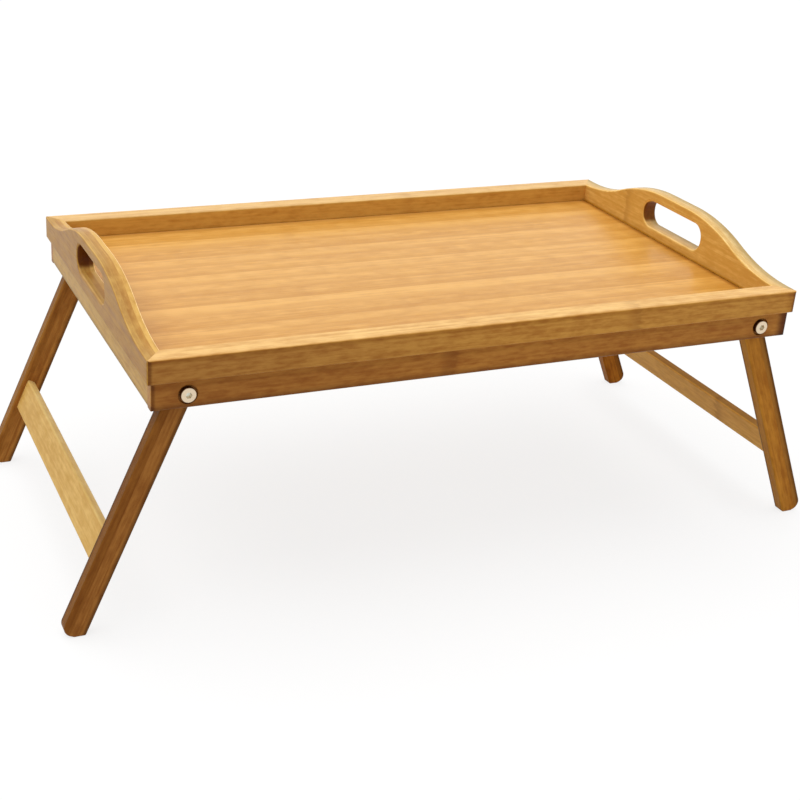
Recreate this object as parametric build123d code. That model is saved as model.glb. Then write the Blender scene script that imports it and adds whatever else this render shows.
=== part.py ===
from build123d import *
from math import cos, radians, sin
import os

# A folding bed tray of laminated bamboo, with humped end boards and leg frames that fold under its floor.
# Millimetres, X along the tray, Z up, the origin on the ground under the middle of the tray.
# The legs are drawn opened out, bearing on their stops. Fronts face -Y.

# Tray
tray_length = 500.0  # over the end boards
tray_width = 300.0  # over the rails
standing_height = 202.0  # ground to the top of the rails
tray_depth = 14.5  # top of the rails down to the floor

# Upper frame
rail_thickness = 16.0
end_board_thickness = 12.5
corner_radius = 2.0  # upright outer corners of both frames
edge_radius = 1.5  # eased long edges of rails, boards, aprons and stretchers

# Humped end boards
hump_rise = 24.5  # hump above the top of the rails
hump_flat = 34.0  # level stretch on top of the hump
shoulder_length = 11.0  # level stretch at each end of the board
slot_length = 81.0
slot_height = 21.5
slot_bridge = 9.0  # wood left above the hand slot
slot_corner_radius = 10.0
slot_edge_radius = 2.0

# Floor panel, held in a rebate under the upper frame
floor_thickness = 3.0
floor_seat = 6.0  # how far the frame covers the panel's edge
floor_step = 0.5  # the panel's open field stands above its covered edge
floor_gap = 0.3  # room for the panel to swell
floor_line_radius = 1.0  # eased lower edge of the frame along the floor

# Lower frame
apron_thickness = 8.5  # front and back
end_apron_thickness = 11.0
end_overhang = 3.0  # upper frame beyond the end aprons
side_overhang = 2.0  # upper frame beyond the front and back aprons

# Leg frames
splay_angle = 23.5  # opened leg, from the upright
leg_width = 17.0
leg_thickness = 11.0
leg_edge_radius = 1.5
foot_tread = 8.0  # level part of the foot's end
foot_radius = 7.0  # outer corner of the foot
foot_ease = 1.5  # the foot's two other corners
fold_clearance = 1.0  # above and below a folded leg
stop_clearance = 0.3  # opened leg to the end apron that stops it
stretcher_width = 25.5
stretcher_thickness = 6.5
stretcher_rise = 50.5  # end of the leg to the stretcher's lower edge, along the leg
stretcher_offset = 1.75  # stretcher's middle outside the middle of the leg's width

# Pivot bolts, nuts and washers
bolt_diameter = 5.0
bolt_head_diameter = 10.5
bolt_head_height = 4.0
bolt_head_ease = 0.8
bolt_tip = 1.5  # bolt beyond its nut
socket_width = 4.0  # hexagon socket, across the flats
socket_depth = 2.0
counterbore_diameter = 13.5
counterbore_depth = 2.0
spacer_diameter = 14.0
spacer_thickness = 0.9
washer_diameter = 11.0
washer_thickness = 1.0
nut_width = 8.0  # across the flats
nut_height = 5.0
nut_ease = 0.5
running_clearance = 0.08  # round the bolt, on the radius
leg_side_clearance = 0.1  # leg to the washer on each side of it

# Hidden dowels
dowel_diameter = 4.0
dowel_clearance = 0.05  # glue film round a dowel, on the radius
dowel_end_room = 0.5  # empty bottom of a dowel hole
stretcher_dowel_spacing = 13.0
dowel_in_leg = 7.0
dowel_in_stretcher = 15.0
apron_dowel_spacing = 160.0
dowel_in_rail = 9.0
dowel_in_apron = 10.0
corner_dowel_in_side = 6.0
corner_dowel_in_end = 16.0

# Levels, from the ground up
rail_height = tray_depth + floor_thickness
apron_height = leg_width + 2 * fold_clearance
rail_top = standing_height
rail_bottom = rail_top - rail_height
floor_rebate = floor_thickness - floor_step
apron_bottom = rail_bottom - apron_height
pivot_height = rail_bottom - apron_height / 2
slot_middle = hump_rise - slot_bridge - slot_height / 2

# Plan
half_length = tray_length / 2
half_width = tray_width / 2
board_inner = half_length - end_board_thickness
rail_inner = half_width - rail_thickness
apron_end = half_length - end_overhang
apron_end_inner = apron_end - end_apron_thickness
apron_side = half_width - side_overhang
apron_side_inner = apron_side - apron_thickness
leg_outer = apron_side_inner - spacer_thickness - leg_side_clearance
leg_inner = leg_outer - leg_thickness
nut_seat = leg_inner - leg_side_clearance - washer_thickness
apron_dowel_line = (rail_inner + floor_seat + apron_side) / 2

# The opened leg bears on the eased lower edge of the end apron, which places the pivot.
splay = radians(splay_angle)
stop_reach = leg_width / 2 + stop_clearance + edge_radius
stop_drop = pivot_height - apron_bottom - edge_radius
pivot_x = apron_end_inner + edge_radius - (stop_reach + stop_drop * sin(splay)) / cos(splay)

# The leg, measured along itself from the pivot. Its end is square, with a level tread cut across a corner.
tread_outer = foot_tread * cos(splay) - leg_width / 2
tread_inner_drop = (pivot_height - leg_width / 2 * sin(splay)) / cos(splay)
leg_end = (pivot_height + tread_outer * sin(splay)) / cos(splay)
stretcher_low = stretcher_rise - leg_end
stretcher_middle = stretcher_low + stretcher_width / 2

CENTRE, LOW, HIGH = Align.CENTER, Align.MIN, Align.MAX


def rounded_plan(length, width, low, high):
    """A block with the frame's rounded upright corners."""
    return Pos(0, 0, low) * extrude(RectangleRounded(length, width, corner_radius), amount=high - low)


def mitred(board, plan):
    """A frame board cut to its mitred ground plan and to the tray's rounded corners."""
    low = rail_bottom
    high = rail_top + hump_rise
    prism = Pos(0, 0, low) * extrude(make_face(Polyline(*plan, close=True)), amount=high - low)
    return board & prism & rounded_plan(tray_length, tray_width, low, high)


def hole(diameter, depth):
    """A blind hole's cutter, from z = 0 down."""
    return Cylinder(diameter / 2, depth, align=(CENTRE, CENTRE, HIGH))


def ring(outer, inner, height):
    """A flat ring standing on z = 0."""
    aligned = (CENTRE, CENTRE, LOW)
    return Cylinder(outer / 2, height, align=aligned) - Cylinder(inner / 2, height, align=aligned)


def dowel(length_down, length_up):
    """A dowel along Z, with z = 0 at the joint between its two pieces."""
    peg = Cylinder(dowel_diameter / 2, length_down + length_up, align=(CENTRE, CENTRE, LOW))
    return Pos(0, 0, -length_down) * peg


def dowel_hole(depth):
    """A dowel's hole, from z = 0 down."""
    return hole(dowel_diameter + 2 * dowel_clearance, depth + dowel_end_room)


def front_rail():
    """A rail with eased edges, rebated for the floor and mitred into the end boards."""
    section = Rectangle(rail_thickness, rail_height, align=(LOW, HIGH))
    section -= Pos(rail_thickness, -rail_height) * Rectangle(floor_seat, floor_rebate, align=(HIGH, LOW))
    section = fillet(section.vertices().group_by(Axis.Y)[-1], edge_radius)
    section = fillet(section.vertices().group_by(Axis.Y)[0].sort_by(Axis.X)[0], edge_radius)
    floor_line = section.vertices().sort_by_distance((rail_thickness, floor_rebate - rail_height))[0]
    section = fillet(floor_line, floor_line_radius)
    across = Plane(origin=(-half_length, -half_width, rail_top), x_dir=(0, 1, 0), z_dir=(1, 0, 0))
    rail = extrude(across * section, amount=tray_length)
    plan = [
        (-half_length, -half_width),
        (half_length, -half_width),
        (board_inner, -rail_inner),
        (-board_inner, -rail_inner),
    ]
    rail = mitred(rail, plan)
    for x in apron_dowel_stations():
        rail -= Pos(x, -apron_dowel_line, rail_bottom) * Rot(180, 0, 0) * dowel_hole(dowel_in_rail)
    return rail


def hump_outline():
    """Half of the end board's upper edge: level shoulder, ogee of two equal arcs, level top."""
    foot = (half_width - shoulder_length, 0)
    crest = (hump_flat / 2, hump_rise)
    turn = ((foot[0] + crest[0]) / 2, hump_rise / 2)
    return [
        Line((half_width, 0), foot),
        TangentArc(foot, turn, tangent=(-1, 0)),
        TangentArc(crest, turn, tangent=(1, 0)),
        Line(crest, (0, hump_rise)),
    ]


def right_end_board():
    """The humped end board with its eased hand slot, rebated for the floor and mitred into the rails."""
    half = Curve() + hump_outline() + Line((half_width, 0), (half_width, -rail_height))
    outline = half + mirror(half, about=Plane.YZ)
    outline += Line((-half_width, -rail_height), (half_width, -rail_height))
    face = make_face(outline.edges())
    face -= Pos(0, slot_middle) * RectangleRounded(slot_length, slot_height, slot_corner_radius)
    across = Plane(origin=(board_inner, 0, rail_top), x_dir=(0, 1, 0), z_dir=(1, 0, 0))
    board = extrude(across * face, amount=end_board_thickness)
    sides = board.faces().filter_by(Axis.X)
    slot_edges = [edge for side in sides for wire in side.inner_wires() for edge in wire.edges()]
    board = fillet(slot_edges, slot_edge_radius)
    sides = board.faces().filter_by(Axis.X)
    outer_edges = [edge for side in sides for edge in side.outer_wire().edges()]
    upper_edges = [edge for edge in outer_edges if edge.center().Z > rail_top - edge_radius]
    board = fillet(upper_edges, edge_radius)
    low_edge = board.edges().filter_by(Axis.Y).sort_by_distance((half_length, 0, rail_bottom))[0]
    board = fillet(low_edge, edge_radius)
    seat_at = (board_inner, 0, rail_bottom)
    board -= Pos(*seat_at) * Box(floor_seat, tray_width, floor_rebate, align=(LOW, CENTRE, LOW))
    floor_line = (board_inner, 0, rail_bottom + floor_rebate)
    line_edge = board.edges().filter_by(Axis.Y).sort_by_distance(floor_line)[0]
    board = fillet(line_edge, floor_line_radius)
    plan = [
        (half_length, -half_width),
        (half_length, half_width),
        (board_inner, rail_inner),
        (board_inner, -rail_inner),
    ]
    return mitred(board, plan)


def tray_floor():
    """The glued-up floor panel, level with the underside of the frame, its thinner edge in the rebate."""
    length = 2 * (board_inner - floor_gap)
    width = 2 * (rail_inner - floor_gap)
    field = Box(length, width, floor_thickness, align=(CENTRE, CENTRE, LOW))
    edge = Box(length + 2 * floor_seat, width + 2 * floor_seat, floor_rebate, align=(CENTRE, CENTRE, LOW))
    return Pos(0, 0, rail_bottom) * (field + edge)


def apron_dowel_stations():
    """Places along X of the dowels between a long apron and its rail."""
    return [-apron_dowel_spacing, 0, apron_dowel_spacing]


def front_apron():
    """A long apron under the rail, with the counterbored pivot holes."""
    corner = (0, -apron_side, rail_bottom)
    apron = Pos(*corner) * Box(2 * apron_end, apron_thickness, apron_height, align=(CENTRE, LOW, HIGH))
    apron = fillet(apron.edges().filter_by(Axis.X).group_by(Axis.Z)[0], edge_radius)
    apron = apron & rounded_plan(2 * apron_end, 2 * apron_side, apron_bottom, rail_bottom)
    for side in (-1, 1):
        outward = Pos(side * pivot_x, -apron_side, pivot_height) * Rot(90, 0, 0)
        apron -= outward * hole(bolt_diameter + 2 * running_clearance, apron_thickness)
        apron -= outward * hole(counterbore_diameter, counterbore_depth)
        apron -= corner_dowel_place(side) * Rot(180, 0, 0) * dowel_hole(corner_dowel_in_side)
    for x in apron_dowel_stations():
        apron -= Pos(x, -apron_dowel_line, rail_bottom) * dowel_hole(dowel_in_apron)
    return apron


def corner_dowel_place(side):
    """Where a front corner dowel crosses from an end apron up its own Z into the front apron."""
    middle = apron_end_inner + end_apron_thickness / 2
    return Pos(side * middle, -apron_side_inner, pivot_height) * Rot(90, 0, 0)


def right_end_apron():
    """A short apron between the long ones. Its eased inner lower edge stops the opened legs."""
    corner = (apron_end_inner, 0, rail_bottom)
    size = (end_apron_thickness, 2 * apron_side_inner, apron_height)
    apron = Pos(*corner) * Box(*size, align=(LOW, CENTRE, HIGH))
    apron = fillet(apron.edges().filter_by(Axis.Y).group_by(Axis.Z)[0], edge_radius)
    bore = corner_dowel_place(1) * dowel_hole(corner_dowel_in_end)
    return apron - bore - mirror(bore, about=Plane.XZ)


def on_right_leg(piece):
    """Places a piece drawn along an upright leg, its pivot at the origin, on the opened right leg frame."""
    return Pos(pivot_x, 0, pivot_height) * Rot(0, -splay_angle, 0) * piece


def stretcher_dowel_places():
    """Where the right front leg's dowels cross into the stretcher: up their own Z into the leg."""
    apart = stretcher_dowel_spacing / 2
    heights = (stretcher_middle - apart, stretcher_middle + apart)
    return [Pos(stretcher_offset, -leg_inner, height) * Rot(90, 0, 0) for height in heights]


def right_front_leg():
    """A leg with a round top about its pivot and a rounded foot with a level tread."""
    half = leg_width / 2
    inner_top, top, outer_top = (-half, 0), (0, half), (half, 0)
    outer_foot, end_outer = (half, -leg_end), (tread_outer, -leg_end)
    inner_foot = (-half, -tread_inner_drop)
    outline = Curve() + [
        ThreePointArc(inner_top, top, outer_top),
        Polyline(outer_top, outer_foot, end_outer, inner_foot, inner_top),
    ]
    face = make_face(outline.edges())
    face = fillet(face.vertices().sort_by_distance(outer_foot)[0], foot_radius)
    face = fillet(face.vertices().sort_by_distance(end_outer)[0], foot_ease)
    face = fillet(face.vertices().sort_by_distance(inner_foot)[0], foot_ease)
    across = Plane(origin=(0, -leg_inner, 0), x_dir=(1, 0, 0), z_dir=(0, -1, 0))
    leg = extrude(across * face, amount=leg_thickness)
    sides = leg.faces().filter_by(Axis.Y)
    leg = fillet([edge for side in sides for edge in side.outer_wire().edges()], leg_edge_radius)
    bore = hole(bolt_diameter + 2 * running_clearance, leg_thickness)
    leg -= Pos(0, -leg_outer, 0) * Rot(90, 0, 0) * bore
    for place in stretcher_dowel_places():
        leg -= place * Rot(180, 0, 0) * dowel_hole(dowel_in_leg)
    return on_right_leg(leg)


def right_stretcher():
    """The flat board between a frame's two legs, nearer to their outer side."""
    middle = (stretcher_offset, 0, stretcher_middle)
    board = Pos(*middle) * Box(stretcher_thickness, 2 * leg_inner, stretcher_width)
    board = fillet(board.edges().filter_by(Axis.Y), edge_radius)
    for place in stretcher_dowel_places():
        bore = place * dowel_hole(dowel_in_stretcher)
        board = board - bore - mirror(bore, about=Plane.XZ)
    return on_right_leg(board)


def right_stretcher_dowels():
    """The four dowels that hold a stretcher between its legs."""
    peg = dowel(dowel_in_stretcher, dowel_in_leg)
    front = [on_right_leg(place * peg) for place in stretcher_dowel_places()]
    return front + [mirror(peg, about=Plane.XZ) for peg in front]


def apron_dowels():
    """The upright dowels between the long aprons and the rails."""
    peg = dowel(dowel_in_apron, dowel_in_rail)
    front = [Pos(x, -apron_dowel_line, rail_bottom) * peg for x in apron_dowel_stations()]
    return front + [mirror(peg, about=Plane.XZ) for peg in front]


def apron_corner_dowels():
    """The level dowels that join the end aprons to the long ones."""
    peg = dowel(corner_dowel_in_end, corner_dowel_in_side)
    front = [corner_dowel_place(side) * peg for side in (-1, 1)]
    return front + [mirror(peg, about=Plane.XZ) for peg in front]


def on_pivot(piece, y):
    """Places a piece on the right front pivot, its own Z pointing out to the front from a distance y."""
    return Pos(pivot_x, -y, pivot_height) * Rot(90, 0, 0) * piece


def right_front_pivot_bolt():
    """A flat-headed bolt with a hexagon socket, seated in the apron's counterbore."""
    head = Cylinder(bolt_head_diameter / 2, bolt_head_height, align=(CENTRE, CENTRE, LOW))
    head = fillet(head.edges().group_by(Axis.Z)[-1], bolt_head_ease)
    socket = extrude(RegularPolygon(socket_width / 2, 6, major_radius=False), amount=-socket_depth)
    seat = apron_side - counterbore_depth
    shank = hole(bolt_diameter, seat - nut_seat + nut_height + bolt_tip)
    return on_pivot(head - Pos(0, 0, bolt_head_height) * socket + shank, seat)


def right_front_pivot_nut():
    """A hexagon nut with eased corners, on the inner end of the bolt."""
    nut = extrude(RegularPolygon(nut_width / 2, 6, major_radius=False), amount=-nut_height)
    corners = Cylinder(nut_width / 2 / cos(radians(30)), nut_height, align=(CENTRE, CENTRE, HIGH))
    nut = nut & chamfer(corners.edges().filter_by(GeomType.CIRCLE), nut_ease)
    nut -= hole(bolt_diameter + 2 * running_clearance, nut_height)
    return on_pivot(nut, nut_seat)


def right_front_spacer():
    """The washer between the apron and the leg."""
    washer = ring(spacer_diameter, bolt_diameter + 2 * running_clearance, spacer_thickness)
    return on_pivot(washer, apron_side_inner - spacer_thickness)


def right_front_nut_washer():
    """The washer between the leg and the nut."""
    washer = ring(washer_diameter, bolt_diameter + 2 * running_clearance, washer_thickness)
    return on_pivot(washer, nut_seat)


def write(name, solids):
    """Writes one node, a single solid or a group of like ones."""
    piece = Compound(children=solids) if isinstance(solids, list) else solids
    export_step(piece, f"parts/{name}.step")


def mirrored(piece, plane):
    """The piece, or each of a list, mirrored in a plane through the tray's middle."""
    if isinstance(piece, list):
        return [mirror(each, about=plane) for each in piece]
    return mirror(piece, about=plane)


def write_two(name, piece, plane, first, second):
    """Writes a piece and its mirror image. The name holds a star for the side."""
    write(name.replace("*", first), piece)
    write(name.replace("*", second), mirrored(piece, plane))


def write_four(name, piece):
    """Writes a piece of the right front corner and its images at the other three."""
    write_two(f"right_*_{name}", piece, Plane.XZ, "front", "back")
    write_two(f"left_*_{name}", mirrored(piece, Plane.YZ), Plane.XZ, "front", "back")


os.makedirs("parts", exist_ok=True)
write_two("*_rail", front_rail(), Plane.XZ, "front", "back")
write_two("*_end_board", right_end_board(), Plane.YZ, "right", "left")
write("tray_floor", tray_floor())
write_two("*_apron", front_apron(), Plane.XZ, "front", "back")
write_two("*_end_apron", right_end_apron(), Plane.YZ, "right", "left")
write("apron_dowels", apron_dowels())
write("apron_corner_dowels", apron_corner_dowels())
write_four("leg", right_front_leg())
write_two("*_stretcher", right_stretcher(), Plane.YZ, "right", "left")
write_two("*_stretcher_dowels", right_stretcher_dowels(), Plane.YZ, "right", "left")
write_four("pivot_bolt", right_front_pivot_bolt())
write_four("pivot_nut", right_front_pivot_nut())
write_four("spacer", right_front_spacer())
write_four("nut_washer", right_front_nut_washer())
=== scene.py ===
from functools import reduce
from math import pi, radians
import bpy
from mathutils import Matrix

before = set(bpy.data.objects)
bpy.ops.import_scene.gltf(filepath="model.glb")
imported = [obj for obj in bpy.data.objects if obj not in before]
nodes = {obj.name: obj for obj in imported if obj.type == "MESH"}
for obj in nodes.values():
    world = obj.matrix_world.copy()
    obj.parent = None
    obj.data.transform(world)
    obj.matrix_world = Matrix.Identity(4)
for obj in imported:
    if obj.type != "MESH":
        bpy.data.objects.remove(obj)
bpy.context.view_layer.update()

from types import SimpleNamespace

import bpy
from mathutils import Euler, Matrix, Vector

# A folding bed tray of laminated bamboo with bright steel pivot bolts, on a white studio floor.
# Metres, X along the tray, Z up. The CAD solids are shown as they are, and this script gives them
# their materials.

scene = bpy.context.scene

# The photograph's camera
camera_place = (-0.4706, -0.9538, 0.5629)
camera_forward = (0.37165, 0.83116, -0.41359)
camera_roll = radians(3.459)
camera_lens = 65.28
camera_sensor = 36.0
camera_shift = (0.0625, -0.0087)

# Light, and the studio floor's tone as it is seen and as it throws light back
sun_from = (-0.15, 0.15, 1.0)
sun_level = 2.1
sun_softness = radians(70)
sky_level = 0.55
white = (1, 1, 1, 1)
studio_floor_seen = 0.95
studio_floor_bounce = 0.6
studio_floor_glow = 0.8
studio_floor_dullness = 0.9
studio_floor_half = 6.0

# Places on the object that the tones depend on
splay = radians(23.5)
tray_half_length = 0.25
opening_half_length = 0.2372
floor_height = 0.1875
rail_top = 0.202
apron_top = 0.1845
apron_bottom = 0.1655
slot_half_length = 0.0405
leg_width = 0.017
leg_depth = 0.011
leg_layer = leg_width / 3
pivot_x = 0.22279
pivot_height = 0.175
socket_radius = 0.0019

# How far from an edge or a line a change of tone begins, and how far from it the change is full
corner_zone = (0.0035, 0.001)
right_end_zone = (0.011, 0.0035)
crease_zone = (0.0022, 0.0008)
floor_rim_zone = (0.0057, 0.0007)
floor_end_zone = (0.045, 0.01)
apron_foot_zone = (0.0055, 0.0005)
slot_zone = (0.0015, 0.0005)
leg_edge_zone = (0.004, 0.0015)
line_zone = (0.0025, 0.0005)
ring_zone = (0.002, 0.0004)
patch_zone = (0.008, 0.0)

# Places along the tray between which a change of tone grows
left_part_reach = (0.05, -tray_half_length)
inner_top_reach = (0.245, 0.2405)
outer_top_reach = (0.2435, 0.248)

# How far two soft lines of shade lie below the top of their pieces
apron_line_drop = 0.003
rail_line_drop = 0.0024

# How softly a leg's layers, a bolt's socket and its flank are told apart
layer_blur = 0.0003
socket_blur = 0.0003
flank_blur = 0.001

# How squarely a face looks a way, as a cosine, where a change of tone begins and where it is full
faces_up = (0.35, 0.95)
faces_level = (0.6, 0.2)
faces_along = (0.8, 0.95)
faces_out = (0.3, 0.8)
faces_in = (-0.3, -0.8)
faces_left = (-0.5, -0.9)
eased_faces = (0.97, 0.8)
slot_end_faces = (0.45, 0.8)
leg_faces = (0.3, 0.7)
flank_faces = (0.95, 0.6)

# The same for the frame's inner faces, times their distance from the tray's middle
crease_faces = (-0.03, -0.1)

# Grain: noise per metre along the fibres and across them, its detail and its roughness
fibre_noise = (7.0, 420.0, 4.0, 0.62)
vessel_noise = (55.0, 2300.0, 1.0, 0.5)
fleck_noise = (110.0, 400.0, 2.0, 0.6)
mottle_noise = (60.0, 130.0, 2.0, 0.55)

# Between which levels of their noise vessels show, and how far the fibres of two strips may lie apart
vessel_levels = (0.56, 0.74)
fibre_scatter = 9.0

# Grain directions
along_x = (0, 0, 0)
along_y = (0, 0, -pi / 2)

# Strips across the grain. A piece that is one board has a strip wider than itself.
one_board = 1.0
board_strip = 0.0042

# Knuckles: how they waver, what they darken, and a gap so wide that a piece has only one
mottle_sway = 0.02
fleck_sway = 0.01
patch_aside = 0.0025
ring_dark = 0.1
patch_dark = 0.5
single_gap = 0.5

# How much of the tone comes from fibres, mottle and vessels, how much less fleck upper faces have, and the
# fleck of the front rail and the long aprons
streak_tone = 1.3
mottle_tone = 0.9
vessel_dark = 0.22
top_calm = 0.6
lively_fleck = 1.2

# Lacquer, which fills most of the grain, and the low relief that is left
lacquer_index = 1.48
lacquer_dullness = 0.28
vessel_dullness = 0.12
streak_dullness = 0.18
vessel_depth = 0.5
glue_depth = 0.7
streak_height = 0.4
ring_height = 0.3
wood_bump = (0.35, 0.0002)

# Steel: the uneven sheen, then the colours of faces, of flanks in a hole, which are painted shade, and of
# sockets, and the roughness
spot_scale = 900.0
spot_detail = 3.0
spot_shade = 0.82
spot_sheen = 0.2
steel_bump = (0.1, 0.0001)
bolt_look = ((0.82, 0.67, 0.48), (0.16, 0.09, 0.05), (0.66, 0.66, 0.56), 0.3)
washer_flank_shade = (0.5, 0.48, 0.45)
washer_look = ((0.62, 0.6, 0.56), washer_flank_shade, washer_flank_shade, 0.35)

# Bamboo tones, linear
face_pale, face_deep = (0.74, 0.36, 0.08), (0.5, 0.19, 0.03)
board_pale, board_deep = (0.92, 0.6, 0.175), (0.7, 0.39, 0.08)
outside_pale, outside_deep = (0.51, 0.26, 0.039), (0.345, 0.137, 0.0147)
leg_pale, leg_deep = (0.56, 0.23, 0.04), (0.34, 0.115, 0.017)
floor_pale, floor_deep = (0.79, 0.425, 0.105), (0.58, 0.265, 0.04)
# Painted sheen: the pale tone of upper faces
sheen_pale = (0.84, 0.52, 0.2)

# Changes of tone on a piece, as colours to multiply by. Most are painted light and shade, as marked.
# Painted highlight: paler, bluer eased edges, on the rails and on the end boards
edge_highlight = (1.08, 1.1, 1.15)
board_edge_highlight = (1.25, 1.38, 1.7)
# Painted shade along the foot of the aprons
apron_foot_shade = (0.6, 0.57, 0.55)
# Painted shade along the right and back edges of the legs
leg_edge_shade = (0.5, 0.5, 0.55)
# Painted shade on the upright corners at the ends of the long pieces
corner_shade = (0.5, 0.42, 0.3)
# Painted light: the long aprons' end faces paler than their fronts
lit_end_face = (1.35, 1.6, 1.7)
# Painted shade deep in the round ends of the hand slots
slot_end_shade = (0.27, 0.15, 0.05)
burnt_knuckle = (0.6, 0.5, 0.45)
# Painted shade in the crease where the frame's inner faces meet the floor
crease_shade = (0.93, 0.78, 0.4)
# Painted shade on the floor's outermost line, in the corner at the end boards
floor_rim_shade = (0.6, 0.5, 0.33)
# Painted shade on the floor close to the end boards
floor_end_shade = (0.9, 0.88, 0.8)
# Painted shade: the left of the long rails' and aprons' faces darker than the right
apron_left_shade = (0.82, 0.79, 0.86)
rail_left_shade = (0.75, 0.71, 0.8)
rail_shadow = (0.92, 0.91, 0.82)
arris_shadow = (0.82, 0.76, 0.6)
# Painted shade at the right ends of the front rail and the long aprons
rail_end_shade = (0.84, 0.77, 0.63)
apron_end_shade = (0.3, 0.2, 0.08)
# Painted light on the back rail's inner face, for the light the tray floor throws on it
rail_inside_light = (1.07, 1.25, 1.46)
# Painted highlight on the inner half of the end boards' upper edges, painted shade on the outer half
left_inner_highlight = (1.22, 1.27, 1.35)
left_outer_shade = (0.92, 0.92, 0.95)
right_inner_highlight = (1.2, 1.15, 1.06)
right_outer_shade = (0.7, 0.68, 0.6)

# The pieces' own shades, as colours to multiply their tones by, and those of their upper faces, whose paler
# tone is painted sheen
plain = (1, 1, 1)
long_rail_shade = (0.89, 0.88, 0.72)
long_apron_shade = (0.72, 0.62, 0.46)
end_apron_shade = (0.88, 1.07, 1.06)
front_rail_sheen = (1.05, 1.08, 1.05)
back_rail_sheen = (0.95, 0.98, 1.0)
left_board_sheen = (0.71, 0.66, 0.41)
right_board_sheen = (0.885, 1.05, 1.28)
leg_shades = {
    "left_front": (0.84, 0.85, 1.05),
    "left_back": (1.0, 1.05, 1.25),
    "right_front": (1.15, 1.17, 0.85),
    "right_back": (0.88, 0.75, 0.42),
}
outer_layers = {
    "left_front": (0.68, 0.6, 0.48),
    "left_back": (0.77, 0.72, 0.64),
    "right_front": (0.64, 0.63, 0.78),
    "right_back": (0.72, 0.72, 0.8),
}
# Painted shade on the left legs' faces that look left, painted light on the right legs' ones
left_face_light_and_shade = {"left": (0.87, 0.96, 0.87), "right": (1.12, 1.26, 1.3)}
stretcher_shades = {"left": (0.87, 0.88, 1.0), "right": (1.05, 0.9, 0.72)}
# Painted light on the left stretcher's upper face and painted shade on the right one's
stretcher_top_light_and_shade = {"left": (1.0, 1.15, 1.5), "right": (0.42, 0.38, 0.38)}

# Pieces with a single knuckle: how far along them it lies, and how strong it is
rail_knuckle = (0.1122, 0.5)
apron_knuckle = (-0.035, 0.8)
board_knuckle = (0.0675, 0.65)
stretcher_knuckle_place = -0.0564
stretcher_knuckles = {"left": 0.0, "right": 0.7}

# The floor's figure. With this seed its strips are pale and dark in the photograph's order.
floor_figure = {
    "seed": 1168723,
    "strip": 0.02,
    "strip_middle": -0.003,
    "glue": 0.6,
    "glue_line": 0.012,
    "knuckle": 0.2,
    "contrast": 0.55,
    "fleck": 0.3,
    "gloss": 0.3,
    "dullness": 0.85,
}


def times(first, second):
    """Two colours multiplied."""
    return tuple(one * other for one, other in zip(first, second))


def over(first, second):
    """One colour divided by another."""
    return tuple(one / other for one, other in zip(first, second))


def put(tree, kind, **settings):
    """Adds a node of the given kind and sets its own properties."""
    node = tree.nodes.new(kind)
    for name, value in settings.items():
        setattr(node, name, value)
    return node


def feed(tree, socket, value):
    """Links an output to an input, or sets the input to a plain value."""
    if isinstance(value, bpy.types.NodeSocket):
        tree.links.new(value, socket)
    else:
        socket.default_value = value


def calc(tree, operation, *values):
    """The result of one Math node."""
    node = put(tree, "ShaderNodeMath", operation=operation)
    for socket, value in zip(node.inputs, values):
        feed(tree, socket, value)
    return node.outputs[0]


def total(tree, *values):
    """The sum of several values."""
    return reduce(lambda first, second: calc(tree, "ADD", first, second), values)


def product(tree, *values):
    """Several values multiplied."""
    return reduce(lambda first, second: calc(tree, "MULTIPLY", first, second), values)


def magnitude(tree, value):
    """A value without its sign."""
    return calc(tree, "ABSOLUTE", value)


def ramp(tree, value, low, high):
    """A smooth step from 0 at low to 1 at high, or down from 1 where low is above high."""
    node = put(tree, "ShaderNodeMapRange", interpolation_type="SMOOTHSTEP")
    feed(tree, node.inputs["Value"], value)
    feed(tree, node.inputs["From Min"], low)
    feed(tree, node.inputs["From Max"], high)
    return node.outputs["Result"]


def up_to(tree, value, edge, zone):
    """Grows from 0 to 1 as a value comes up to an edge, over the zone's two distances from it."""
    begins, full = zone
    return ramp(tree, value, edge - begins, edge - full)


def down_to(tree, value, edge, zone):
    """Grows from 0 to 1 as a value comes down to an edge, over the zone's two distances from it."""
    begins, full = zone
    return ramp(tree, value, edge + begins, edge + full)


def swing(tree, value, reach):
    """A value about 0.5, moved to swing about 0 with the given reach."""
    return product(tree, calc(tree, "SUBTRACT", value, 0.5), reach)


def steps(tree, value, width):
    """A value counted in steps of the given width, with the middle of step 0 at 0."""
    return calc(tree, "ADD", calc(tree, "DIVIDE", value, width), 0.5)


def mix_colour(tree, factor, first, second, mode="MIX"):
    """Two colours mixed. The node has inputs of the same names for numbers, so its sockets are counted."""
    node = put(tree, "ShaderNodeMix", data_type="RGBA", blend_type=mode)
    feed(tree, node.inputs[0], factor)
    feed(tree, node.inputs[6], first)
    feed(tree, node.inputs[7], second)
    return node.outputs[2]


def tinted(tree, factor, colour, tint):
    """A colour multiplied by a tint, as far as the factor says."""
    return mix_colour(tree, factor, colour, (*tint, 1), "MULTIPLY")


def vector(tree, x, y, z):
    """Three numbers joined to a vector."""
    node = put(tree, "ShaderNodeCombineXYZ")
    for socket, value in zip(node.inputs, (x, y, z)):
        feed(tree, socket, value)
    return node.outputs[0]


def parts_of(tree, value):
    """The three numbers of a vector."""
    node = put(tree, "ShaderNodeSeparateXYZ")
    feed(tree, node.inputs[0], value)
    return node.outputs


def cloud(tree, place, along, across, detail, roughness):
    """Noise about 0.5, scaled along the fibres and across them."""
    scaled = put(tree, "ShaderNodeVectorMath", operation="MULTIPLY")
    feed(tree, scaled.inputs[0], place)
    scaled.inputs[1].default_value = (along, across, across)
    node = put(tree, "ShaderNodeTexNoise", noise_dimensions="3D")
    feed(tree, node.inputs["Vector"], scaled.outputs[0])
    node.inputs["Scale"].default_value = 1.0
    node.inputs["Detail"].default_value = detail
    node.inputs["Roughness"].default_value = roughness
    return node.outputs["Fac"]


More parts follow.
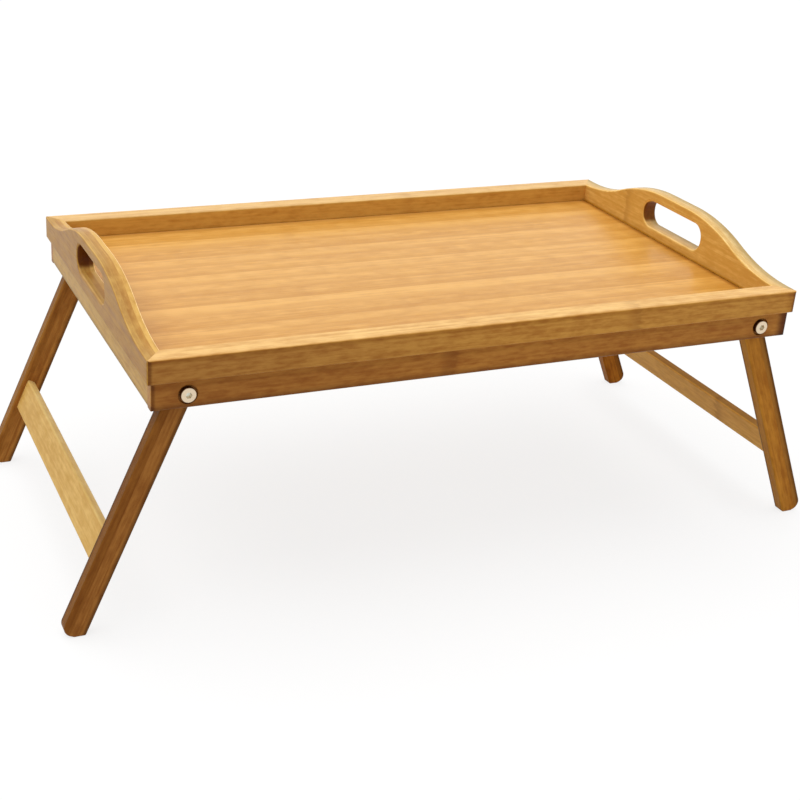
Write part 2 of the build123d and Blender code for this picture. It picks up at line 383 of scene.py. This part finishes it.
def bamboo_group():
    """Laminated bamboo: strips with their own tones, fibres, dark vessels, flecks, knuckles and glue lines.

    The place runs along the fibres in X, across the strips in Y and through the layers in Z, in metres.
    """
    tree = bpy.data.node_groups.new("laminated_bamboo", "ShaderNodeTree")
    numbers = ("Strip", "Layer", "Seed", "Contrast", "Fleck", "Glue", "Glue Line")
    knuckle_numbers = ("Knuckle", "Knuckle Place", "Knuckle Gap", "Knuckle Scatter")
    inputs = {"Vector": ("Place",), "Float": numbers + knuckle_numbers, "Color": ("Pale", "Deep")}
    outputs = {"Color": ("Color",), "Float": ("Roughness", "Height")}
    for way, sockets in (("INPUT", inputs), ("OUTPUT", outputs)):
        for kind, names in sockets.items():
            for name in names:
                tree.interface.new_socket(name, in_out=way, socket_type=f"NodeSocket{kind}")
    given = put(tree, "NodeGroupInput").outputs
    result = put(tree, "NodeGroupOutput").inputs
    x, y, z = parts_of(tree, given["Place"])

    # Which strip and layer this is, and its own random numbers
    across = steps(tree, y, given["Strip"])
    through = steps(tree, z, given["Layer"])
    own = put(tree, "ShaderNodeTexWhiteNoise", noise_dimensions="3D")
    cell = vector(tree, calc(tree, "FLOOR", across), calc(tree, "FLOOR", through), given["Seed"])
    feed(tree, own.inputs["Vector"], cell)
    dice = put(tree, "ShaderNodeSeparateColor")
    feed(tree, dice.inputs[0], own.outputs["Color"])
    tone, shift, fibre_shift = dice.outputs

    # Fibres: long streaks, short dark vessels, tangled flecks and a soft mottle
    moved = vector(tree, calc(tree, "ADD", x, product(tree, fibre_shift, fibre_scatter)), y, z)
    streak = cloud(tree, moved, *fibre_noise)
    vessel = ramp(tree, cloud(tree, moved, *vessel_noise), *vessel_levels)
    fleck = cloud(tree, moved, *fleck_noise)
    mottle = cloud(tree, moved, *mottle_noise)

    # Knuckles: a faint ring in a soft brown patch
    scatter = swing(tree, shift, given["Knuckle Scatter"])
    sway = total(tree, swing(tree, mottle, mottle_sway), swing(tree, fleck, fleck_sway), scatter)
    from_knuckle = calc(tree, "ADD", calc(tree, "SUBTRACT", x, given["Knuckle Place"]), sway)
    turns = steps(tree, from_knuckle, given["Knuckle Gap"])
    beside = swing(tree, calc(tree, "FRACT", turns), given["Knuckle Gap"])
    ring = ramp(tree, magnitude(tree, beside), *ring_zone)
    patch = ramp(tree, magnitude(tree, calc(tree, "ADD", beside, patch_aside)), *patch_zone)
    knuckle = total(tree, product(tree, ring, ring_dark), product(tree, patch, patch_dark))

    # Each strip and layer darkens towards the glue line at its lower edge
    strip_away = product(tree, calc(tree, "FRACT", across), given["Strip"])
    layer_away = product(tree, calc(tree, "FRACT", through), given["Layer"])
    glue = ramp(tree, calc(tree, "MINIMUM", strip_away, layer_away), given["Glue Line"], 0.0)

    # Tone
    own_tone = swing(tree, tone, given["Contrast"])
    fibre_tone = swing(tree, streak, streak_tone)
    cloud_tone = swing(tree, mottle, mottle_tone)
    fleck_tone = swing(tree, fleck, given["Fleck"])
    level = total(tree, 0.5, own_tone, fibre_tone, cloud_tone, fleck_tone)
    wood = mix_colour(tree, ramp(tree, level, 0.0, 1.0), given["Deep"], given["Pale"])
    dark = total(tree, product(tree, vessel, vessel_dark), product(tree, glue, given["Glue"]))
    wood = mix_colour(tree, dark, wood, given["Deep"])
    burnt = tinted(tree, 1.0, given["Deep"], burnt_knuckle)
    wood = mix_colour(tree, product(tree, knuckle, given["Knuckle"]), wood, burnt)
    feed(tree, result["Color"], wood)

    # Lacquer and relief
    vessel_dull = product(tree, vessel, vessel_dullness)
    streak_dull = product(tree, streak, streak_dullness)
    feed(tree, result["Roughness"], total(tree, lacquer_dullness, vessel_dull, streak_dull))
    low = total(tree, product(tree, vessel, vessel_depth), product(tree, glue, glue_depth))
    high = total(tree, product(tree, streak, streak_height), product(tree, ring, ring_height))
    feed(tree, result["Height"], calc(tree, "SUBTRACT", high, low))
    return tree


bamboo = bamboo_group()


def middle_of(node, turn):
    """The middle of a node, along its fibres, across its strips and through its layers."""
    rotation = Euler(turn).to_matrix()
    points = [rotation @ vertex.co for vertex in nodes[node].data.vertices]
    return [(min(values) + max(values)) / 2 for values in zip(*points)]


def half_length_of(node):
    """Half of a node's length along the tray."""
    return max(abs(vertex.co.x) for vertex in nodes[node].data.vertices)


def surface_of(tree, node, turn, strip_middle):
    """Where a point is and how it faces, in the tray's axes and in the piece's own.

    The piece's own axes run along its fibres, across its strips and through its layers.
    """
    middle = Vector(middle_of(node, turn)) + Vector((0, strip_middle, 0))
    source = put(tree, "ShaderNodeTexCoord").outputs
    place = put(tree, "ShaderNodeMapping", vector_type="POINT")
    feed(tree, place.inputs["Vector"], source["Object"])
    place.inputs["Rotation"].default_value = turn
    place.inputs["Location"].default_value = -middle
    facing = put(tree, "ShaderNodeMapping", vector_type="VECTOR")
    feed(tree, facing.inputs["Vector"], source["Normal"])
    facing.inputs["Rotation"].default_value = turn
    x, y, z = parts_of(tree, source["Object"])
    face_x, face_y, face_z = parts_of(tree, source["Normal"])
    along, across, through = parts_of(tree, place.outputs[0])
    face_along, face_across, face_through = parts_of(tree, facing.outputs[0])
    return SimpleNamespace(
        tree=tree, half_length=half_length_of(node), place=place.outputs[0],
        x=x, y=y, z=z, face_x=face_x, face_y=face_y, face_z=face_z,
        along=along, across=across, through=through,
        face_along=face_along, face_across=face_across, face_through=face_through,
    )


# Where on a piece its tone changes, each from 0 to 1

def upward(at):
    """Faces that look up."""
    return ramp(at.tree, at.face_z, *faces_up)


def not_upward(at):
    """All but the faces that look up."""
    return ramp(at.tree, at.face_z, *faces_level)


def arrises(at):
    """The eased edges that run along a piece, which get a painted highlight."""
    tree = at.tree
    side = magnitude(tree, at.face_across)
    other = calc(tree, "SQRT", calc(tree, "SUBTRACT", 1.0, product(tree, side, side)))
    return ramp(tree, calc(tree, "MAXIMUM", side, other), *eased_faces)


def end_faces(at):
    """The two end faces of a long piece."""
    return ramp(at.tree, magnitude(at.tree, at.face_along), *faces_along)


def end_corners(at):
    """The upright corners at the two ends of a long piece, darkened with painted shade."""
    tree = at.tree
    close = up_to(tree, magnitude(tree, at.x), at.half_length, corner_zone)
    return product(tree, close, not_upward(at), calc(tree, "SUBTRACT", 1.0, end_faces(at)))


def right_corner(at):
    """The right end of a long piece's face, darkened with painted shade."""
    return product(at.tree, up_to(at.tree, at.x, at.half_length, right_end_zone), not_upward(at))


def left_part(at):
    """The left of a long piece's face, dimmed with painted shade."""
    return product(at.tree, ramp(at.tree, at.x, *left_part_reach), not_upward(at))


def outward(tree, value, place):
    """A value along one of the tray's axes, counted away from the tray's middle."""
    return product(tree, value, calc(tree, "SIGN", place))


def end_inside(at):
    """The inner face of an end piece."""
    return ramp(at.tree, outward(at.tree, at.face_x, at.x), *faces_in)


def end_outside(at):
    """The outer face of an end piece."""
    return ramp(at.tree, outward(at.tree, at.face_x, at.x), *faces_out)


def rail_inside(at):
    """The inner face of a long rail."""
    return ramp(at.tree, outward(at.tree, at.face_y, at.y), *faces_in)


def slot_ends(at):
    """The round ends of the hand slot, darkened with painted shade."""
    tree = at.tree
    steep = ramp(tree, magnitude(tree, at.face_along), *slot_end_faces)
    return product(tree, steep, down_to(tree, magnitude(tree, at.along), slot_half_length, slot_zone))


def floor_crease(at):
    """The foot of the frame's inner faces, along the floor, darkened with painted shade in the crease."""
    tree = at.tree
    away = total(tree, product(tree, at.face_x, at.x), product(tree, at.face_y, at.y))
    foot = down_to(tree, at.z, floor_height, crease_zone)
    return product(tree, ramp(tree, away, *crease_faces), foot)


def floor_rim(at):
    """The outermost line of the floor, along the end boards, darkened with painted shade in the corner."""
    return up_to(at.tree, magnitude(at.tree, at.x), opening_half_length, floor_rim_zone)


def floor_ends(at):
    """The floor's two ends, close to the end boards, dimmed with painted shade."""
    return up_to(at.tree, magnitude(at.tree, at.x), opening_half_length, floor_end_zone)


def low_edge(at):
    """The foot of an apron, darkened with painted shade."""
    return down_to(at.tree, at.z, apron_bottom, apron_foot_zone)


def level_line(at, height):
    """A soft level line round a piece at the given height."""
    return ramp(at.tree, magnitude(at.tree, calc(at.tree, "SUBTRACT", at.z, height)), *line_zone)


def under_rail(at):
    """The top of an apron, close under the rail."""
    return level_line(at, apron_top - apron_line_drop)


def under_arris(at):
    """A rail's face, close under its upper edge."""
    return product(at.tree, level_line(at, rail_top - rail_line_drop), not_upward(at))


def inner_top(at):
    """The inner half of an end board's upper edge, which gets a painted highlight."""
    return product(at.tree, ramp(at.tree, magnitude(at.tree, at.x), *inner_top_reach), upward(at))


def outer_top(at):
    """The outer half of an end board's upper edge, which gets painted shade."""
    return product(at.tree, ramp(at.tree, magnitude(at.tree, at.x), *outer_top_reach), upward(at))


def far_edge(tree, place, half, facing):
    """The right or back edge of those of a leg's faces that look along the given direction, where painted
    shade lies.
    """
    edge = up_to(tree, place, half, leg_edge_zone)
    return product(tree, edge, ramp(tree, magnitude(tree, facing), *leg_faces))


def far_edges(at):
    """The right edge of a leg's front and back, and the back edge of its sides, which get painted shade."""
    right = far_edge(at.tree, at.through, leg_width / 2, at.face_across)
    back = far_edge(at.tree, at.across, leg_depth / 2, at.face_through)
    return calc(at.tree, "MAXIMUM", right, back)


def left_side(at):
    """The face of a leg that looks left."""
    return ramp(at.tree, at.face_through, *faces_left)


def outer_layer(at):
    """The outermost of a leg's three layers."""
    glue_line = leg_layer / 2
    beyond = outward(at.tree, at.through, at.x)
    return ramp(at.tree, beyond, glue_line - layer_blur, glue_line + layer_blur)


def new_material(name):
    """A material, its node tree and its shader."""
    material = bpy.data.materials.new(name)
    material.use_nodes = True
    tree = material.node_tree
    return material, tree, tree.nodes["Principled BSDF"]


def add_bump(tree, shader, height, strength, distance):
    """Gives a shader a fine relief."""
    bump = put(tree, "ShaderNodeBump")
    bump.inputs["Strength"].default_value = strength
    bump.inputs["Distance"].default_value = distance
    feed(tree, bump.inputs["Height"], height)
    feed(tree, shader.inputs["Normal"], bump.outputs[0])


def bamboo_material(
    node, turn, pale, deep, changes,
    strip=one_board, strip_middle=0.0, layer=one_board, seed=0, glue=0.3, glue_line=0.0005,
    knuckle=0.25, knuckle_place=0.1, knuckle_gap=0.31, knuckle_scatter=0.3,
    contrast=0.5, fleck=0.8, gloss=0.12, dullness=1.0,
):
    """Lacquered bamboo for one piece. Each change is a place on it and the colour to multiply by there."""
    material, tree, shader = new_material(node)
    at = surface_of(tree, node, turn, strip_middle)
    wood = put(tree, "ShaderNodeGroup", node_tree=bamboo)
    feed(tree, wood.inputs["Place"], at.place)
    values = {
        "Strip": strip,
        "Layer": layer,
        "Seed": seed,
        "Glue": glue,
        "Glue Line": glue_line,
        "Contrast": contrast,
        "Knuckle": knuckle,
        "Knuckle Place": knuckle_place,
        "Knuckle Gap": knuckle_gap,
        "Knuckle Scatter": knuckle_scatter,
        "Pale": (*pale, 1),
        "Deep": (*deep, 1),
    }
    for socket, value in values.items():
        wood.inputs[socket].default_value = value
    fleck_share = calc(tree, "SUBTRACT", 1.0, product(tree, upward(at), top_calm))
    feed(tree, wood.inputs["Fleck"], product(tree, fleck_share, fleck))
    colour = wood.outputs["Color"]
    for where, tint in changes:
        colour = tinted(tree, where(at), colour, tint)
    feed(tree, shader.inputs["Base Color"], colour)
    feed(tree, shader.inputs["Roughness"], product(tree, wood.outputs["Roughness"], dullness))
    shader.inputs["IOR"].default_value = lacquer_index
    shader.inputs["Specular IOR Level"].default_value = gloss
    add_bump(tree, shader, wood.outputs["Height"], *wood_bump)
    return material


def steel_material(name, colour, flank, socket, roughness):
    """Bright plated steel with an uneven sheen.

    Flanks that stand in a hole are darkened with painted shade, and sockets have a colour of their own.
    """
    material, tree, shader = new_material(name)
    source = put(tree, "ShaderNodeTexCoord").outputs
    spots = put(tree, "ShaderNodeTexNoise")
    feed(tree, spots.inputs["Vector"], source["Object"])
    spots.inputs["Scale"].default_value = spot_scale
    spots.inputs["Detail"].default_value = spot_detail
    spotted = spots.outputs["Fac"]
    shade = tuple(part * spot_shade for part in colour)
    bright = mix_colour(tree, spotted, (*colour, 1), (*shade, 1))
    place = parts_of(tree, source["Object"])
    aside = calc(tree, "SUBTRACT", magnitude(tree, place["X"]), pivot_x)
    above = calc(tree, "SUBTRACT", place["Z"], pivot_height)
    squares = total(tree, calc(tree, "POWER", aside, 2.0), calc(tree, "POWER", above, 2.0))
    off_axis = calc(tree, "POWER", squares, 0.5)
    face_y = parts_of(tree, source["Normal"])["Y"]
    on_edge = ramp(tree, magnitude(tree, face_y), *flank_faces)
    clear = ramp(tree, off_axis, socket_radius, socket_radius + flank_blur)
    inside = ramp(tree, off_axis, socket_radius + socket_blur, socket_radius - socket_blur)
    bright = mix_colour(tree, inside, bright, (*socket, 1))
    # Painted shade on the flanks that stand in a hole
    bright = mix_colour(tree, product(tree, on_edge, clear), bright, (*flank, 1))
    feed(tree, shader.inputs["Base Color"], bright)
    sheen = calc(tree, "ADD", product(tree, spotted, spot_sheen), roughness - spot_sheen / 2)
    feed(tree, shader.inputs["Roughness"], sheen)
    shader.inputs["Metallic"].default_value = 1.0
    add_bump(tree, shader, spotted, *steel_bump)
    return material


def dress(node, material):
    """Gives a CAD node its material."""
    slots = nodes[node].data.materials
    slots.clear()
    slots.append(material)


def bamboo_piece(node, turn, shade, changes, tones=(face_pale, face_deep), top=None, **figure):
    """Dresses one piece in bamboo of its own shade, and its upper faces in the top's painted sheen if it has
    one.
    """
    pale, deep = (times(tone, shade) for tone in tones)
    # Upper faces get a paler tone of painted sheen
    if top:
        changes = ((upward, over(times(sheen_pale, top), pale)), *changes)
    dress(node, bamboo_material(node, turn, pale, deep, changes, **figure))


def one_knuckle(place, strength):
    """The figure of a piece with a single knuckle."""
    return {
        "knuckle": strength,
        "knuckle_place": place,
        "knuckle_gap": single_gap,
        "knuckle_scatter": 0.0,
    }


# Upper frame
rail_changes = ((arrises, edge_highlight), (end_corners, corner_shade))
front_rail_changes = (
    *rail_changes, (left_part, rail_left_shade), (under_arris, arris_shadow), (right_corner, rail_end_shade),
)
# The back rail's inner face is paler with painted light
back_rail_changes = (*rail_changes, (rail_inside, rail_inside_light))
bamboo_piece(
    "front_rail", along_x, long_rail_shade, front_rail_changes,
    top=front_rail_sheen, seed=1, fleck=lively_fleck, **one_knuckle(*rail_knuckle),
)
bamboo_piece("back_rail", along_x, long_rail_shade, back_rail_changes, top=back_rail_sheen, seed=2)
board_changes = ((arrises, board_edge_highlight), (slot_ends, slot_end_shade), (floor_crease, crease_shade))
# The end boards' inner faces are paler than their outer faces: painted light, for the light the tray floor
# throws on them
left_board_changes = (
    (end_inside, over(board_pale, outside_pale)), (inner_top, left_inner_highlight),
    (outer_top, left_outer_shade), *board_changes,
)
right_board_changes = (
    (end_outside, over(outside_pale, board_pale)), (inner_top, right_inner_highlight),
    (outer_top, right_outer_shade), *board_changes,
)
bamboo_piece(
    "left_end_board", along_y, plain, left_board_changes, (outside_pale, outside_deep),
    top=left_board_sheen, seed=7, strip=board_strip, fleck=0.5,
)
bamboo_piece(
    "right_end_board", along_y, plain, right_board_changes, (board_pale, board_deep),
    top=right_board_sheen, seed=8, strip=board_strip, fleck=0.9, **one_knuckle(*board_knuckle),
)
floor_changes = ((floor_rim, floor_rim_shade), (floor_ends, floor_end_shade))
bamboo_piece("tray_floor", along_x, plain, floor_changes, (floor_pale, floor_deep), **floor_figure)

# Lower frame
# The aprons get painted shadow under the rail and painted shade along their foot
apron_changes = ((under_rail, rail_shadow), (low_edge, apron_foot_shade))
# Each long apron's right end gets painted shade
for node, seed, right_end in (("front_apron", 3, apron_end_shade), ("back_apron", 4, rail_end_shade)):
    changes = (
        *apron_changes, (end_faces, lit_end_face), (end_corners, corner_shade), (left_part, apron_left_shade),
        (right_corner, right_end),
    )
    bamboo_piece(
        node, along_x, long_apron_shade, changes,
        seed=seed, fleck=lively_fleck, **one_knuckle(*apron_knuckle),
    )
for node, seed in (("left_end_apron", 5), ("right_end_apron", 6)):
    bamboo_piece(node, along_y, end_apron_shade, apron_changes, seed=seed)

# Leg frames
for seed, side in ((10, "left"), (20, "right")):
    lean = splay if side == "right" else -splay
    along_leg = (0, lean - pi / 2, 0)
    along_stretcher = (0, lean, -pi / 2)
    for offset, end in enumerate(("front", "back")):
        name = f"{side}_{end}"
        leg_changes = (
            (far_edges, leg_edge_shade), (outer_layer, outer_layers[name]), (left_side, left_face_light_and_shade[side]),
        )
        bamboo_piece(
            f"{name}_leg", along_leg, leg_shades[name], leg_changes, (leg_pale, leg_deep),
            seed=seed + offset, layer=leg_layer, knuckle=0.15, contrast=0.3, gloss=0.04,
        )
    stretcher_changes = ((upward, stretcher_top_light_and_shade[side]),)
    bamboo_piece(
        f"{side}_stretcher", along_stretcher, stretcher_shades[side], stretcher_changes,
        (board_pale, board_deep), seed=seed + 2, gloss=0.05,
        **one_knuckle(stretcher_knuckle_place, stretcher_knuckles[side]),
    )

# Hardware and dowels
bolt_steel = steel_material("bolt_steel", *bolt_look)
washer_steel = steel_material("washer_steel", *washer_look)
for node in nodes:
    if node.endswith("bolt"):
        dress(node, bolt_steel)
    elif node.endswith(("nut", "spacer", "washer")):
        dress(node, washer_steel)
    elif node.endswith("dowels"):
        bamboo_piece(node, along_x, plain, ())


def seen_rays(tree):
    """1 for rays that show the background, from the camera or off and through shiny pieces."""
    path = put(tree, "ShaderNodeLightPath").outputs
    shiny = calc(tree, "MAXIMUM", path["Is Glossy Ray"], path["Is Transmission Ray"])
    return calc(tree, "MAXIMUM", path["Is Camera Ray"], shiny)


def blend_shaders(tree, factor, first, second, surface):
    """Sends a mix of two shaders to a surface."""
    blend = put(tree, "ShaderNodeMixShader")
    for socket, value in zip(blend.inputs, (factor, first, second)):
        feed(tree, socket, value)
    feed(tree, surface, blend.outputs[0])


def add_camera():
    """The photograph's camera, from its place, its direction and its roll."""
    data = bpy.data.cameras.new("camera")
    data.lens = camera_lens
    data.sensor_width = camera_sensor
    data.shift_x, data.shift_y = camera_shift
    camera = bpy.data.objects.new("camera", data)
    scene.collection.objects.link(camera)
    ahead = Vector(camera_forward).normalized()
    level = ahead.cross(Vector((0, 0, 1))).normalized()
    upright = level.cross(ahead)
    axes = Matrix((level, upright, -ahead)).transposed().to_4x4()
    camera.matrix_world = Matrix.Translation(camera_place) @ axes @ Matrix.Rotation(camera_roll, 4, "Z")
    scene.camera = camera


def add_light():
    """A broad soft key from above, left and behind, and an even sky that the camera sees as white."""
    data = bpy.data.lights.new("key", "SUN")
    data.energy = sun_level
    data.angle = sun_softness
    key = bpy.data.objects.new("key", data)
    key.rotation_euler = Vector(sun_from).to_track_quat("Z", "Y").to_euler()
    scene.collection.objects.link(key)

    world = bpy.data.worlds.new("studio")
    world.use_nodes = True
    tree = world.node_tree
    tree.nodes.clear()
    out = put(tree, "ShaderNodeOutputWorld")
    sky = put(tree, "ShaderNodeBackground")
    sky.inputs["Color"].default_value = white
    sky.inputs["Strength"].default_value = sky_level
    backdrop = put(tree, "ShaderNodeBackground")
    backdrop.inputs["Color"].default_value = white
    blend_shaders(tree, seen_rays(tree), sky.outputs[0], backdrop.outputs[0], out.inputs["Surface"])
    scene.world = world


def add_studio_floor():
    """A plain white floor that keeps the object's shadow."""
    mesh = bpy.data.meshes.new("studio_floor")
    half = studio_floor_half
    corners = [(-half, -half, 0), (half, -half, 0), (half, half, 0), (-half, half, 0)]
    mesh.from_pydata(corners, [], [(0, 1, 2, 3)])
    floor = bpy.data.objects.new("studio_floor", mesh)
    scene.collection.objects.link(floor)
    material, tree, shader = new_material("studio_floor")
    shown = (studio_floor_seen, studio_floor_seen, studio_floor_seen, 1)
    bounced = (studio_floor_bounce, studio_floor_bounce, studio_floor_bounce, 1)
    feed(tree, shader.inputs["Base Color"], mix_colour(tree, seen_rays(tree), bounced, shown))
    shader.inputs["Roughness"].default_value = studio_floor_dullness
    shader.inputs["Specular IOR Level"].default_value = 0.0
    glow = put(tree, "ShaderNodeEmission")
    glowing = product(tree, seen_rays(tree), studio_floor_glow)
    surface = tree.nodes["Material Output"].inputs["Surface"]
    blend_shaders(tree, glowing, shader.outputs[0], glow.outputs[0], surface)
    mesh.materials.append(material)


add_camera()
add_light()
add_studio_floor()
scene.view_settings.view_transform = "Standard"
